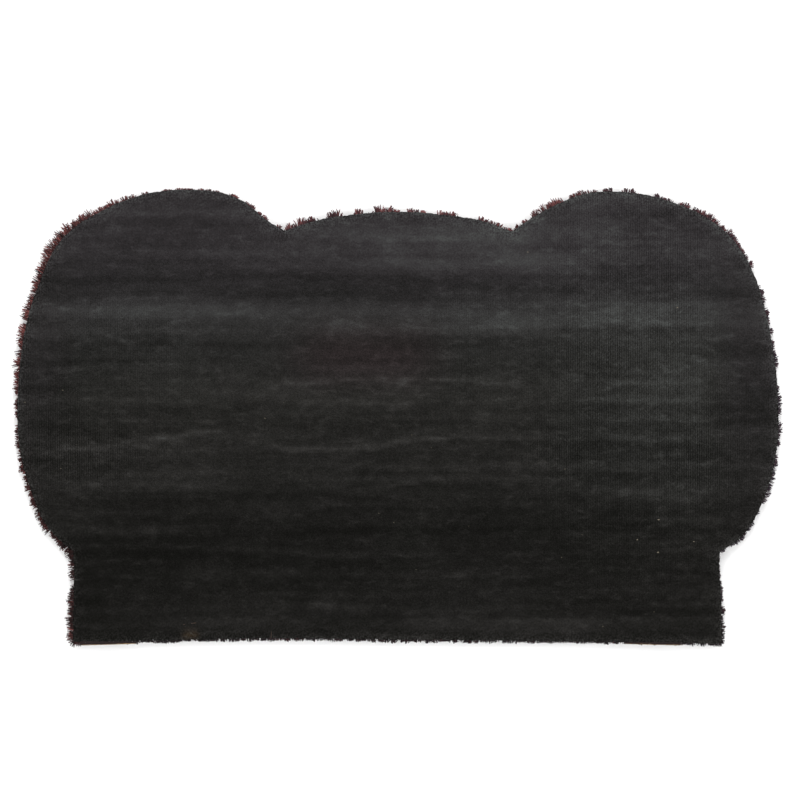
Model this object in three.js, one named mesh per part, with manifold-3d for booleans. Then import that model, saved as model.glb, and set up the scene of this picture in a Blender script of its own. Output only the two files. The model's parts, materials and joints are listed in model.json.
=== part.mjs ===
// A coir doormat cut to a shape: two round lobes and a low crown at its head, round cheeks, and a narrower, straight
// foot. It lies face down, with its back up. The back is a thin sheet of black vinyl, and under it is the brush of
// dyed coir fibre that the vinyl holds. The brush spreads a little past the cut edge and ends there in ragged locks.
//
// Units are millimetres. +X runs along the mat, +Y from the foot to the lobes, and +Z up from the floor. The origin
// lies on the floor, under the middle of the mat.

import * as THREE from 'three';
import { mergeVertices } from 'three/addons/utils/BufferGeometryUtils.js';
import Module from 'manifold-3d';

// Driving dimensions
const MAT_THICKNESS = 15;
const VINYL_THICKNESS = 2.5;
const LAYER_GAP = 0.3; // left between the vinyl and the brush, which touch on the real mat
const PILE_HEIGHT = MAT_THICKNESS - VINYL_THICKNESS - LAYER_GAP;
const OUTLINE_STEP = 12; // between two points along the cut edge
const CUT_UNEVENNESS = 0.35; // how far the knife strays from its line
const LUMP_PITCH = 16; // across one lump of the brush
const LUMP_SHIFT = 5; // between where one lump's corner is and where an even grid would have it
const LUMP_DEPTH = 1.8; // of the deepest hollows between lumps
const LEVEL_SHARE = 0.5; // of the lumps' corners, which are down on the floor
const LEVEL_RADIUS = 60; // of the patch in the middle that is all down on the floor
const LUMPY_BLOCK = { width: 800, length: 496, height: PILE_HEIGHT + 1 };
const LOCK_SPACING = 5.4; // along the cut edge
const LOCK_WIDTH = 4.6; // across a lock's root
const LOCK_TURN = 1.2; // radians between the locks that lean furthest to either side
const LOCK_SIDES = 4;
const SHORTEST_LOCK = 2.2; // where the brush stands out less than this, it has no locks

// Corners of the outline, where its curves meet
const FOOT_LEFT = { x: -321, y: -222 };
const FOOT_RIGHT = { x: 319, y: -223.5 };
const NECK_LEFT = { x: -320.5, y: -133 };
const NECK_RIGHT = { x: 317, y: -133 };
const NOTCH_LEFT = { x: -112, y: 183.5 };
const NOTCH_RIGHT = { x: 112, y: 183 };

// The outline, counterclockwise. Each stretch is a smooth curve through its points. Its reach says how far the brush
// stands out past the cut edge, at shares of the way along it.
const STRETCHES = [
  {
    name: 'foot',
    points: [FOOT_LEFT, { x: -225, y: -220.5 }, { x: -127, y: -218.5 }, { x: 2, y: -219.7 },
      { x: 159, y: -221.2 }, { x: 248, y: -223 }, FOOT_RIGHT],
    reach: [{ at: 0, mm: 3 }, { at: 0.02, mm: 0.8 }, { at: 0.3, mm: 1 }, { at: 1, mm: 1 }],
  },
  {
    name: 'right base side',
    points: [FOOT_RIGHT, { x: 318, y: -178 }, { x: 316, y: -150 }, NECK_RIGHT],
    reach: [{ at: 0, mm: 1.6 }, { at: 0.3, mm: 3 }, { at: 0.7, mm: 2.2 }, { at: 1, mm: 1.6 }],
  },
  {
    name: 'right cheek and lobe',
    points: [NECK_RIGHT, { x: 339, y: -118 }, { x: 359, y: -84 }, { x: 372.5, y: -36 }, { x: 374, y: 20 },
      { x: 366, y: 84 }, { x: 349, y: 144 }, { x: 318, y: 186.5 }, { x: 268, y: 212.5 }, { x: 220, y: 221.5 },
      { x: 180, y: 219 }, { x: 143, y: 202.5 }, NOTCH_RIGHT],
    reach: [{ at: 0, mm: 2.5 }, { at: 0.08, mm: 4.2 }, { at: 0.16, mm: 3.6 }, { at: 0.22, mm: 1.6 },
      { at: 0.3, mm: 2.4 }, { at: 0.4, mm: 1.4 }, { at: 0.5, mm: 2.2 }, { at: 0.58, mm: 3.4 },
      { at: 0.66, mm: 5.2 }, { at: 0.72, mm: 4.4 }, { at: 0.78, mm: 1.4 }, { at: 0.86, mm: 2.6 },
      { at: 0.9, mm: 6 }, { at: 0.97, mm: 6 }, { at: 1, mm: 3 }],
  },
  {
    name: 'crown',
    points: [NOTCH_RIGHT, { x: 84, y: 192.5 }, { x: 56, y: 197.6 }, { x: 0, y: 202.3 }, { x: -56, y: 198 },
      { x: -84, y: 192.8 }, NOTCH_LEFT],
    reach: [{ at: 0, mm: 2 }, { at: 0.08, mm: 4.2 }, { at: 0.2, mm: 5 }, { at: 0.32, mm: 2 },
      { at: 0.46, mm: 2.6 }, { at: 0.56, mm: 6 }, { at: 0.7, mm: 4.6 }, { at: 0.86, mm: 4 }, { at: 1, mm: 4.4 }],
  },
  {
    name: 'left lobe and cheek',
    points: [NOTCH_LEFT, { x: -131, y: 194.5 }, { x: -158, y: 215.5 }, { x: -190, y: 223 }, { x: -238, y: 222 },
      { x: -287, y: 206 }, { x: -330, y: 177 }, { x: -353.5, y: 134 }, { x: -368.5, y: 84 }, { x: -375, y: 30 },
      { x: -374.5, y: -24 }, { x: -364, y: -68 }, { x: -346.5, y: -108 }, NECK_LEFT],
    reach: [{ at: 0, mm: 2.4 }, { at: 0.12, mm: 2.6 }, { at: 0.16, mm: 1.2 }, { at: 0.25, mm: 1.4 },
      { at: 0.32, mm: 3.6 }, { at: 0.42, mm: 5.6 }, { at: 0.52, mm: 6.4 }, { at: 0.62, mm: 6 },
      { at: 0.7, mm: 4.4 }, { at: 0.78, mm: 3.2 }, { at: 0.84, mm: 4 }, { at: 0.92, mm: 6.4 }, { at: 1, mm: 7 }],
  },
  {
    name: 'left base side',
    points: [NECK_LEFT, { x: -320, y: -166 }, FOOT_LEFT],
    reach: [{ at: 0, mm: 7 }, { at: 0.15, mm: 8 }, { at: 0.35, mm: 4.6 }, { at: 0.6, mm: 7 }, { at: 1, mm: 6 }],
  },
];

// The brush's side wall leans out as it comes down to the floor. Its rings start inside the cut edge by the inset,
// and go out by a share of the reach. The lowest one is below the floor, and the lumps cut it off.
const WALL_RINGS = [
  { z: -1, inset: 0.6, spread: 0.42 },
  { z: 4, inset: 0.8, spread: 0.36 },
  { z: 8, inset: 1.1, spread: 0.2 },
  { z: PILE_HEIGHT, inset: 1.5, spread: 0 },
];

// Soft ridges across the back, where the vinyl has puckered. Each runs along a curve through its points.
const RIDGES = [
  { name: 'left pucker', width: 10, height: 0.55,
    points: [{ x: -335, y: -30 }, { x: -265, y: -27 }, { x: -206, y: -20 }, { x: -148, y: -15 }] },
  { name: 'middle pucker', width: 10, height: 0.65,
    points: [{ x: -150, y: -25 }, { x: -102, y: -33 }, { x: -53, y: -32 }, { x: 26, y: -23 }, { x: 70, y: -19 },
      { x: 154, y: -23 }, { x: 300, y: -24 }] },
  { name: 'upper pucker', width: 8, height: 0.45,
    points: [{ x: -108, y: 28 }, { x: 1, y: 32 }, { x: 26, y: 34 }, { x: 120, y: 30 }, { x: 290, y: 28 }] },
  { name: 'broad swell', width: 30, height: 0.7,
    points: [{ x: -345, y: 98 }, { x: -240, y: 106 }, { x: -130, y: 104 }, { x: 10, y: 108 }, { x: 110, y: 98 },
      { x: 230, y: 103 }, { x: 340, y: 96 }] },
  { name: 'head swell', width: 18, height: 0.5,
    points: [{ x: -70, y: 154 }, { x: 60, y: 153 }, { x: 150, y: 151 }, { x: 235, y: 156 }] },
  { name: 'low pucker', width: 10, height: 0.4,
    points: [{ x: 170, y: -78 }, { x: 235, y: -76 }, { x: 305, y: -80 }] },
];
const RIDGE_STEPS = 18;
const RIDGE_ACROSS = [0.5, 0.3, 0.12, -0.12, -0.3, -0.5]; // shares of its width, from its head side to its foot side
const RIDGE_SINK = 0.4; // how far a ridge's edges go into the vinyl
const RIDGE_UNEVENNESS = 0.4; // the share of its height that comes and goes along it

const UP_THE_CONE = new THREE.Vector3(0, 1, 0);

const wasm = await Module();
wasm.setup();

// A repeatable random number from 0 to 1, so that what is uneven comes out the same each time.
function randomFrom(seed) {
  let state = seed;
  return () => {
    state = (state + 0x6d2b79f5) | 0;
    let mixed = Math.imul(state ^ (state >>> 15), 1 | state);
    mixed = (mixed + Math.imul(mixed ^ (mixed >>> 7), 61 | mixed)) ^ mixed;
    return ((mixed ^ (mixed >>> 14)) >>> 0) / 4294967296;
  };
}

// A closed three.js geometry as a solid that can be joined and cut.
function solidOf(geometry) {
  const bare = geometry.clone();
  bare.deleteAttribute('normal');
  bare.deleteAttribute('uv');
  const merged = mergeVertices(bare, 1e-4);
  const vertProperties = new Float32Array(merged.attributes.position.array);
  const triVerts = new Uint32Array(merged.index.array);
  return new wasm.Manifold(new wasm.Mesh({ numProp: 3, vertProperties, triVerts }));
}

// A solid back as a three.js geometry, flat shaded.
function geometryOf(solid) {
  const mesh = solid.getMesh();
  const geometry = new THREE.BufferGeometry();
  geometry.setAttribute('position', new THREE.BufferAttribute(mesh.vertProperties, 3));
  geometry.setIndex(new THREE.BufferAttribute(mesh.triVerts, 1));
  const flat = geometry.toNonIndexed();
  flat.computeVertexNormals();
  return flat;
}

// The reach of a stretch at a share of the way along it.
function reachAt(rows, share) {
  const after = Math.max(1, rows.findIndex((row) => row.at >= share));
  const [low, high] = [rows[after - 1], rows[after]];
  return THREE.MathUtils.mapLinear(share, low.at, high.at, low.mm, high.mm);
}

// Points round the cut edge, about a step apart, each with the reach of the brush there and the way out.
function edgePoints(step) {
  const found = STRETCHES.flatMap(({ points, reach }) => {
    const curve = new THREE.SplineCurve(points.map(({ x, y }) => new THREE.Vector2(x, y)));
    const count = Math.round(curve.getLength() / step);
    const spaced = curve.getSpacedPoints(count).slice(0, -1);
    return spaced.map((place, i) => ({ place, reach: reachAt(reach, i / count) }));
  });
  return found.map((here, i) => {
    const before = found.at(i - 1).place;
    const after = found[(i + 1) % found.length].place;
    const along = after.clone().sub(before).normalize();
    return { ...here, outward: new THREE.Vector2(along.y, -along.x) };
  });
}

// A closed body through rings that have the same number of points. Seen from the last ring, the points of each run
// counterclockwise. capOf gives the triangles that close a ring.
function bodyThrough(rings, capOf) {
  const count = rings[0].length;
  const top = (rings.length - 1) * count;
  const faces = [];
  for (let ring = 0; ring < top; ring += count) {
    for (let i = 0; i < count; i++) {
      const next = (i + 1) % count;
      faces.push([ring + i, ring + next, ring + count + next]);
      faces.push([ring + i, ring + count + next, ring + count + i]);
    }
  }
  faces.push(...capOf(rings[0]).map(([a, b, c]) => [a, c, b]));
  faces.push(...capOf(rings.at(-1)).map(([a, b, c]) => [top + a, top + b, top + c]));
  const geometry = new THREE.BufferGeometry();
  const positions = rings.flat().flatMap(({ x, y, z }) => [x, y, z]);
  geometry.setAttribute('position', new THREE.Float32BufferAttribute(positions, 3));
  geometry.setIndex(faces.flat());
  return geometry;
}

// Triangles that fill a level ring of any outline.
function levelCap(ring) {
  return THREE.ShapeUtils.triangulateShape(ring.map(({ x, y }) => new THREE.Vector2(x, y)), []);
}

// Triangles from a ring's first point to all its others.
function fanCap(ring) {
  return ring.slice(2).map((point, i) => [0, i + 1, i + 2]);
}

// A ring at one height, set out from the cut edge by what offset gives for each point.
function ringAt(edge, z, offset) {
  return edge.map((point) => {
    const { x, y } = point.place.clone().addScaledVector(point.outward, offset(point));
    return new THREE.Vector3(x, y, z);
  });
}

// One soft ridge: a low arch along its curve, uneven in height, that fades out at both ends.
function ridge({ points, width, height }) {
  const curve = new THREE.SplineCurve(points.map(({ x, y }) => new THREE.Vector2(x, y)));
  const sections = curve.getSpacedPoints(RIDGE_STEPS).map(({ x, y }, i) => {
    const fade = Math.sin((Math.PI * i) / RIDGE_STEPS);
    const crest = RIDGE_SINK + height * fade * (1 - RIDGE_UNEVENNESS * Math.sin(2.3 * i) ** 2);
    const keel = new THREE.Vector3(x, y, MAT_THICKNESS - 2 * RIDGE_SINK);
    const arch = RIDGE_ACROSS.map((share) => {
      const rise = (1 + Math.cos(2 * Math.PI * share)) / 2;
      return new THREE.Vector3(x, y + share * width, MAT_THICKNESS - RIDGE_SINK + crest * rise);
    });
    return [keel, ...arch];
  });
  return bodyThrough(sections, fanCap);
}

// The vinyl sheet: a plate of the cut shape with the ridges joined on.
function vinylBack() {
  const random = randomFrom(11);
  const edge = edgePoints(OUTLINE_STEP).map((point) => ({ ...point, stray: CUT_UNEVENNESS * (2 * random() - 1) }));
  const underside = MAT_THICKNESS - VINYL_THICKNESS;
  const rings = [underside, MAT_THICKNESS].map((z) => ringAt(edge, z, ({ stray }) => stray));
  const ridges = RIDGES.map((row) => solidOf(ridge(row)));
  return geometryOf(wasm.Manifold.union([solidOf(bodyThrough(rings, levelCap)), ...ridges]));
}

// A block larger than the mat whose underside is lumpy. Its lumps rest level on the floor, and the hollows between
// them rise by up to the lump depth. It is level in the middle, where the mat lies on the floor.
function lumpyBlock() {
  const random = randomFrom(23);
  const { width, length, height } = LUMPY_BLOCK;
  const box = new THREE.BoxGeometry(
    width, length, height, width / LUMP_PITCH, length / LUMP_PITCH, 1).translate(0, 0, height / 2);
  box.deleteAttribute('normal');
  box.deleteAttribute('uv');
  const block = mergeVertices(box, 1e-4);
  const { position } = block.attributes;
  for (let i = 0; i < position.count; i++) {
    const [x, y, z] = [position.getX(i), position.getY(i), position.getZ(i)];
    const [shiftX, shiftY, depth] = [random() - 0.5, random() - 0.5, random()];
    if (z > 0) continue;
    const level = Math.hypot(x, y) < LEVEL_RADIUS || depth < LEVEL_SHARE;
    position.setXYZ(i, x + shiftX * LUMP_SHIFT, y + shiftY * LUMP_SHIFT, level ? 0 : depth * LUMP_DEPTH);
  }
  return block;
}

// The locks: flat tapered bunches of fibre, rooted in the brush, that lean out and down past the cut edge.
function locks() {
  const random = randomFrom(37);
  const rooted = edgePoints(LOCK_SPACING).map((point) => ({
    ...point,
    turn: LOCK_TURN * (random() - 0.5),
    beyond: point.reach * THREE.MathUtils.lerp(0.75, 1.15, random()),
    radius: LOCK_WIDTH * THREE.MathUtils.lerp(0.4, 0.6, random()),
    rootHeight: PILE_HEIGHT * THREE.MathUtils.lerp(0.55, 0.75, random()),
    tipHeight: PILE_HEIGHT * THREE.MathUtils.lerp(0.08, 0.6, random()),
  }));
  return rooted.filter(({ reach }) => reach > SHORTEST_LOCK).map((lock) => {
    const way = lock.outward.clone().rotateAround(new THREE.Vector2(), lock.turn);
    const root = lock.place.clone().addScaledVector(way, -LOCK_WIDTH);
    const tip = lock.place.clone().addScaledVector(way, lock.beyond);
    const from = new THREE.Vector3(root.x, root.y, lock.rootHeight);
    const to = new THREE.Vector3(tip.x, tip.y, lock.tipHeight);
    const lean = new THREE.Quaternion().setFromUnitVectors(UP_THE_CONE, to.clone().sub(from).normalize());
    const length = from.distanceTo(to);
    return new THREE.ConeGeometry(lock.radius, length, LOCK_SIDES, 1)
      .translate(0, length / 2, 0)
      .applyQuaternion(lean)
      .translate(from.x, from.y, from.z);
  });
}

// The brush: a slab that leans out as it comes down, lumpy underneath, with the locks joined on all round.
function coirPile() {
  const random = randomFrom(53);
  const edge = edgePoints(OUTLINE_STEP);
  const rings = WALL_RINGS.map(({ z, inset, spread }) => ringAt(edge, z, ({ reach }) => (
    reach * spread * THREE.MathUtils.lerp(0.7, 1.3, random()) - inset)));
  const slab = solidOf(bodyThrough(rings, levelCap)).intersect(solidOf(lumpyBlock()));
  const bunches = locks().map(solidOf);
  return geometryOf(wasm.Manifold.union([slab, ...bunches]));
}

function finish(color, roughness) {
  return new THREE.MeshStandardMaterial({ color, roughness, metalness: 0, flatShading: true });
}

function part(name, geometry, material) {
  const mesh = new THREE.Mesh(geometry, material);
  mesh.name = name;
  return mesh;
}

const doormat = new THREE.Group();
doormat.add(
  part('vinyl_back', vinylBack(), finish('#2b2a29', 0.6)),
  part('coir_pile', coirPile(), finish('#5a2f2b', 0.95)),
);

export default doormat;
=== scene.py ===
# %% [markdown]
# # A coir doormat that lies on its face
#
# A vinyl-backed doormat is made in one pass: a sheet of soft black PVC is poured, cut coir fibre is pressed
# into it on end, and the oven sets the two together. The mat is then cut to its outline with a press knife.
# Here it lies with the brush down, so we see the ribbed back of the vinyl, and the ragged ends of the brush
# round the edge.
#
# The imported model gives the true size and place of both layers. We load it first and measure it, and every
# piece that follows is built around it, in metres.

# %% Load the frame and keep its box
import json

import bmesh
import bpy
import numpy as np
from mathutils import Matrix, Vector
from mathutils.kdtree import KDTree

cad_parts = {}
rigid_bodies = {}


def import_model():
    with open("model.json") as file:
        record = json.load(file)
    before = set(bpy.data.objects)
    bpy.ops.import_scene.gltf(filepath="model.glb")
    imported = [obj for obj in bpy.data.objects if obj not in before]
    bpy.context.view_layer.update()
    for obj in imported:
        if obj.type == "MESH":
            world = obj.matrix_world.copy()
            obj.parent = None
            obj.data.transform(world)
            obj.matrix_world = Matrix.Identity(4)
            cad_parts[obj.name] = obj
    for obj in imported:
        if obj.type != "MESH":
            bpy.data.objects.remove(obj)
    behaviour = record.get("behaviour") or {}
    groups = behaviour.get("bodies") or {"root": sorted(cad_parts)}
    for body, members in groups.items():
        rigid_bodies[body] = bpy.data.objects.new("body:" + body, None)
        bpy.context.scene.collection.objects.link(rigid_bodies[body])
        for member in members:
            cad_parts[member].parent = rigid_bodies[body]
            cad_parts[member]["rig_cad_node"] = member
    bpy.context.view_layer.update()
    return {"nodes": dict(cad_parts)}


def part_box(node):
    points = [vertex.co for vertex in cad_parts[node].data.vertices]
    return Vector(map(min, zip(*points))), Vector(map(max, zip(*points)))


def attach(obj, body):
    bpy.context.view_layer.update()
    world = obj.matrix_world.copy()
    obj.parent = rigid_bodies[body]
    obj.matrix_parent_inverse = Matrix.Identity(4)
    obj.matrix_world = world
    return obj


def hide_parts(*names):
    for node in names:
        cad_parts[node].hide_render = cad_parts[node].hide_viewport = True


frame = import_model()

MM = 0.001
print("nodes:", sorted(frame["nodes"]))

# %% [markdown]
# ## Small helpers
#
# Colours are easiest to read as sRGB hex values, but shaders work in linear light, so one function turns
# them over. Another adds a node to a material with its settings and its links in one call. A third gives
# smooth unevenness along a line: a few sine waves with random phases, which never jumps and never repeats
# within the mat. The last ones add up soft oval patches, which place what is seen on the back, turn plain
# rows into a table, and make a finished mesh a piece. A mix node takes its two colours at sockets 6 and 7,
# and gives the mixed one at output 2.

# %% Colour, node and unevenness helpers
def from_hex(text):
    """An sRGB hex colour as linear red, green, blue and alpha."""
    parts = [int(text[i:i + 2], 16) / 255 for i in (1, 3, 5)]
    return (*[c / 12.92 if c <= 0.04045 else ((c + 0.055) / 1.055) ** 2.4 for c in parts], 1)


def add_node(tree, kind, inputs=None, **settings):
    """Adds a node. inputs gives each socket, by name or number, a value, a socket or a node's output."""
    node = tree.nodes.new(kind)
    for name, value in settings.items():
        setattr(node, name, value)
    for socket, value in (inputs or {}).items():
        if isinstance(value, bpy.types.Node):
            value = next(output for output in value.outputs if output.enabled)
        if isinstance(value, bpy.types.NodeSocket):
            tree.links.new(value, node.inputs[socket])
        else:
            node.inputs[socket].default_value = value
    return node


WANDER_LENGTHS = (0.037, 0.071, 0.16)  # of the waves in the middle line of a patch, in metres
FIRST_PATCH_SEED = 40


def waves(along, lengths, seed):
    """Smooth unevenness from -1 to 1: one sine wave for each of the lengths, with a random phase."""
    phases = np.random.default_rng(seed).uniform(0, 2 * np.pi, len(lengths))
    sines = [np.sin(2 * np.pi * along / length + phase) for length, phase in zip(lengths, phases)]
    return sum(sines) / len(lengths)


def patch(x, y, row, wander=0):
    """How strong one soft oval patch, given in mm, is at each place: from 0 to 1."""
    across = (y - row["y"] * MM - wander) / (row["across"] * MM)
    along = (x - row["x"] * MM) / (row["along"] * MM)
    return np.exp(-across ** 2 - along ** 4)


def patches(x, y, rows, wobble):
    """The sum of soft oval patches, each with a middle line that wanders a little."""
    total = np.zeros_like(x)
    for i, row in enumerate(rows):
        total += row["lift"] * patch(x, y, row, waves(x, WANDER_LENGTHS, FIRST_PATCH_SEED + i) * wobble)
    return total


def table(columns, rows):
    """Plain rows as one dictionary for each row, under the names of the columns."""
    return [dict(zip(columns.split(), row)) for row in rows]


def new_piece(name, mesh, material):
    """A mesh as an object in the scene, with one material."""
    piece = bpy.data.objects.new(name, mesh)
    bpy.context.scene.collection.objects.link(piece)
    mesh.materials.clear()
    mesh.materials.append(material)
    return piece


# %% [markdown]
# ## The cut edge
#
# Both layers follow one line: the path of the press knife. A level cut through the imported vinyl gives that
# line as a closed loop of edges. We walk round it once, so that the points come in order, and keep for each
# point how far along the edge it is and which way is out.

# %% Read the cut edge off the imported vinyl
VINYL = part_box("vinyl_back")
UNDERSIDE = VINYL[0].z
EDGE_STEP = 1.5 * MM
CUT_HEIGHT = UNDERSIDE + 1 * MM
SAME_PLACE = 0.001 * MM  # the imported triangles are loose, and corners this close are one


def level_cut(node, height):
    """The ordered points where a level plane cuts a node's wall, counterclockwise from above."""
    bm = bmesh.new()
    bm.from_mesh(node.data)
    bmesh.ops.remove_doubles(bm, verts=bm.verts, dist=SAME_PLACE)
    bmesh.ops.bisect_plane(
        bm, geom=[*bm.verts, *bm.edges, *bm.faces], plane_co=(0, 0, height), plane_no=(0, 0, 1),
        clear_inner=True, clear_outer=True)
    walked, edge = [next(iter(bm.verts))], None
    while len(walked) < len(bm.verts):
        edge = next(e for e in walked[-1].link_edges if e is not edge)
        walked.append(edge.other_vert(walked[-1]))
    points = np.array([v.co.xy for v in walked])
    bm.free()
    x, y = points.T
    area = (x * np.roll(y, -1) - y * np.roll(x, -1)).sum() / 2
    return (points if area > 0 else points[::-1]), abs(area)


def spaced(points, step):
    """The same closed line with points a step apart: each point, its way out and its distance along."""
    closed = np.vstack([points, points[:1]])
    lengths = np.concatenate([[0], np.cumsum(np.linalg.norm(np.diff(closed, axis=0), axis=1))])
    along = np.linspace(0, lengths[-1], round(lengths[-1] / step), endpoint=False)
    even = np.column_stack([np.interp(along, lengths, closed[:, i]) for i in (0, 1)])
    tangent = np.roll(even, -2, axis=0) - np.roll(even, 2, axis=0)
    tangent /= np.linalg.norm(tangent, axis=1)[:, None]
    return even, np.column_stack([tangent[:, 1], -tangent[:, 0]]), along


knife_line, mat_area = level_cut(frame["nodes"]["vinyl_back"], CUT_HEIGHT)
edge, outward, along_edge = spaced(knife_line, EDGE_STEP)
edge_length = along_edge[-1] + EDGE_STEP
print(f"cut edge: {edge_length:.3f} m long, round {mat_area:.4f} square metres")

# %% [markdown]
# ## The vinyl sheet
#
# The back of the sheet takes the print of the belt that it was cast on: fine ribs that run from the foot to
# the head, about 2.2 mm apart. Where the sheet shrank unevenly in the oven it has low puckers, which run
# across the ribs.
#
# A grid with three columns to each rib can hold both as real relief. Its rows lie closer together where the
# puckers are narrow. Its rim is drawn down and closed to make a block, and the block is then cut with a
# prism of the knife line. The knife line gets a little fine raggedness first, because fibre ends nick the
# edge of the soft vinyl.

# %% Relief of the back
RIB_PITCH = 2.19 * MM
RIB_DEPTH = 0.2 * MM
FAINTEST_RIBS = 0.06  # what is left of the depth where the ribs were pressed flat
COLUMNS_PER_RIB = 3
# Rows of the grid in mm: closer together where narrow puckers run
ROW_ZONES = [
    {"from": -236, "to": -52, "pitch": 5.2}, {"from": -52, "to": 44, "pitch": 3.4},
    {"from": 44, "to": 144, "pitch": 5}, {"from": 144, "to": 182, "pitch": 3.8},
    {"from": 182, "to": 236, "pitch": 5.2},
]
BACK_LEVEL = 15 * MM  # of the back above the floor
SHARP_EDGE = 0.8  # radians between two faces, beyond which their edge shows

# Where the print of the ribs is still crisp, in mm; elsewhere it was pressed almost flat
CRISP_PATCHES = table("x y along across lift", [
    (232, 52, 88, 165, 0.95),
    (80, 60, 60, 80, 0.22),
    (312, -40, 50, 50, 0.35),
    (-315, -36, 55, 36, 0.7),
    (-235, 22, 45, 38, 0.22),
    (-345, 30, 45, 60, 0.25),
    (-255, 80, 50, 32, 0.35),
    (-320, 120, 40, 25, 0.2),
    (-77, 2, 40, 14, 0.12),
    (155, -30, 40, 22, 0.25),
    (-235, -33, 36, 16, 0.22),
    (80, 118, 36, 20, 0.18),
    (335, 110, 40, 40, -0.2),
])
CRISP_WOBBLE = 6 * MM

# Puckers: the line that each follows, as x and y in mm, with its width and height in mm
PUCKERS = [
    {"line": [(-345, -29), (-300, -31), (-265, -27), (-232, -27)], "width": 8, "height": 0.7},
    {"line": [(-262, -21), (-225, -21), (-200, -16), (-160, -14)], "width": 7, "height": 0.75},
    {"line": [(-170, -22), (-135, -26), (-100, -33), (-60, -33), (-20, -29), (0, -24), (40, -22), (70, -19)],
     "width": 9, "height": 0.55},
    {"line": [(60, -20), (100, -22), (154, -22), (200, -21), (300, -23)], "width": 9, "height": 0.45},
    {"line": [(-140, 27), (-108, 32), (-60, 35), (-10, 35), (30, 36)], "width": 8, "height": 0.7},
    {"line": [(20, 36), (60, 36), (100, 34), (120, 31), (138, 29)], "width": 7, "height": 0.65},
    {"line": [(-110, 12), (-80, 15), (-40, 13), (0, 12), (30, 14)], "width": 8, "height": 0.5},
    {"line": [(-85, -70), (-40, -73), (10, -71)], "width": 9, "height": 0.3},
    {"line": [(125, 36), (165, 37), (200, 36), (260, 33), (310, 34)], "width": 10, "height": 0.5},
    {"line": [(190, 18), (240, 17), (300, 16)], "width": 8, "height": 0.3},
    {"line": [(-345, 98), (-240, 106), (-130, 104), (10, 108), (110, 98), (230, 103), (340, 96)],
     "width": 30, "height": 0.35},
    {"line": [(-70, 178), (30, 176), (90, 176)], "width": 8, "height": 0.35},
    {"line": [(-70, 154), (60, 153), (150, 151), (235, 156)], "width": 18, "height": 0.5},
    {"line": [(170, -78), (235, -76), (305, -80)], "width": 10, "height": 0.4},
]
PUCKER_END = 28 * MM
PUCKER_WANDER = {"share": 0.15, "lengths": (0.031, 0.083)}  # a share of its width
PUCKER_HEIGHTS = {"middle": 0.7, "swing": 0.4, "lengths": (0.007, 0.019, 0.045, 0.11)}  # shares of its height


def smooth_step(x, low, high):
    """0 below low and 1 above high, with a soft start and end between them."""
    share = np.clip((x - low) / (high - low), 0, 1)
    return share * share * (3 - 2 * share)


def pucker(x, y, row):
    """How high one pucker stands at each place, from 0 to 1."""
    xs, ys = np.array(row["line"]).T * MM
    width = row["width"] * MM
    wander = waves(x, PUCKER_WANDER["lengths"], seed=len(xs)) * width * PUCKER_WANDER["share"]
    centre = np.interp(x, xs, ys) + wander
    across = np.clip((y - centre) / width, -0.5, 0.5)
    ends = smooth_step(x, xs[0], xs[0] + PUCKER_END) * (1 - smooth_step(x, xs[-1] - PUCKER_END, xs[-1]))
    rise_and_fall = waves(x, PUCKER_HEIGHTS["lengths"], seed=len(xs) + 7)
    uneven = PUCKER_HEIGHTS["middle"] + PUCKER_HEIGHTS["swing"] * rise_and_fall
    return (1 + np.cos(2 * np.pi * across)) / 2 * ends * uneven


def relief(x, y):
    """The height of the back above the floor."""
    crisp = patches(x, y, CRISP_PATCHES, CRISP_WOBBLE)
    depth = RIB_DEPTH * (FAINTEST_RIBS + (1 - FAINTEST_RIBS) * crisp)
    height = BACK_LEVEL + depth * np.cos(2 * np.pi * x / RIB_PITCH) / 2
    for row in PUCKERS:
        height += row["height"] * MM * pucker(x, y, row)
    return height


print(f"back: {len(CRISP_PATCHES)} areas of ribs and {len(PUCKERS)} puckers")

# %% Build the ribbed block
SPARE_RIBS = 6  # more than the mat is wide, so the block stands out on both sides


def ribbed_block(low, high):
    """A closed block whose top is a fine grid, a little larger than the mat."""
    columns = int((high.x - low.x) / RIB_PITCH + SPARE_RIBS) * COLUMNS_PER_RIB
    rows = np.concatenate([np.arange(zone["from"], zone["to"], zone["pitch"]) for zone in ROW_ZONES]) * MM
    bm = bmesh.new()
    bmesh.ops.create_grid(bm, x_segments=columns, y_segments=len(rows) - 1, size=0.5)
    bmesh.ops.scale(bm, verts=bm.verts, vec=(columns * RIB_PITCH / COLUMNS_PER_RIB, len(rows) - 1, 1))
    for vert in bm.verts:
        vert.co.y = rows[round(vert.co.y + (len(rows) - 1) / 2)]
    bmesh.ops.translate(bm, verts=bm.verts, vec=(0, 0, high.z))
    rim = [e for e in bm.edges if e.is_boundary]
    drawn = bmesh.ops.extrude_edge_only(bm, edges=rim)["geom"]
    lower = [v for v in drawn if isinstance(v, bmesh.types.BMVert)]
    bmesh.ops.translate(bm, verts=lower, vec=(0, 0, low.z - high.z))
    bmesh.ops.contextual_create(bm, geom=[e for e in drawn if isinstance(e, bmesh.types.BMEdge)])
    bmesh.ops.recalc_face_normals(bm, faces=bm.faces)
    mesh = bpy.data.meshes.new("ribbed_block")
    bm.to_mesh(mesh)
    bm.free()
    return mesh


def corners_of(mesh):
    """The x, y and z of each vertex, one row for each."""
    corners = np.empty(3 * len(mesh.vertices))
    mesh.vertices.foreach_get("co", corners)
    return corners.reshape(-1, 3)


block = ribbed_block(*VINYL)
corners = corners_of(block)
x, y, z = corners.T
z[:] = np.where(z > (VINYL[0].z + VINYL[1].z) / 2, relief(x, y), z)
block.vertices.foreach_set("co", corners.ravel())
print(f"block: {len(block.vertices)} vertices, up to {1000 * z.max():.1f} mm above the floor")

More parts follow.
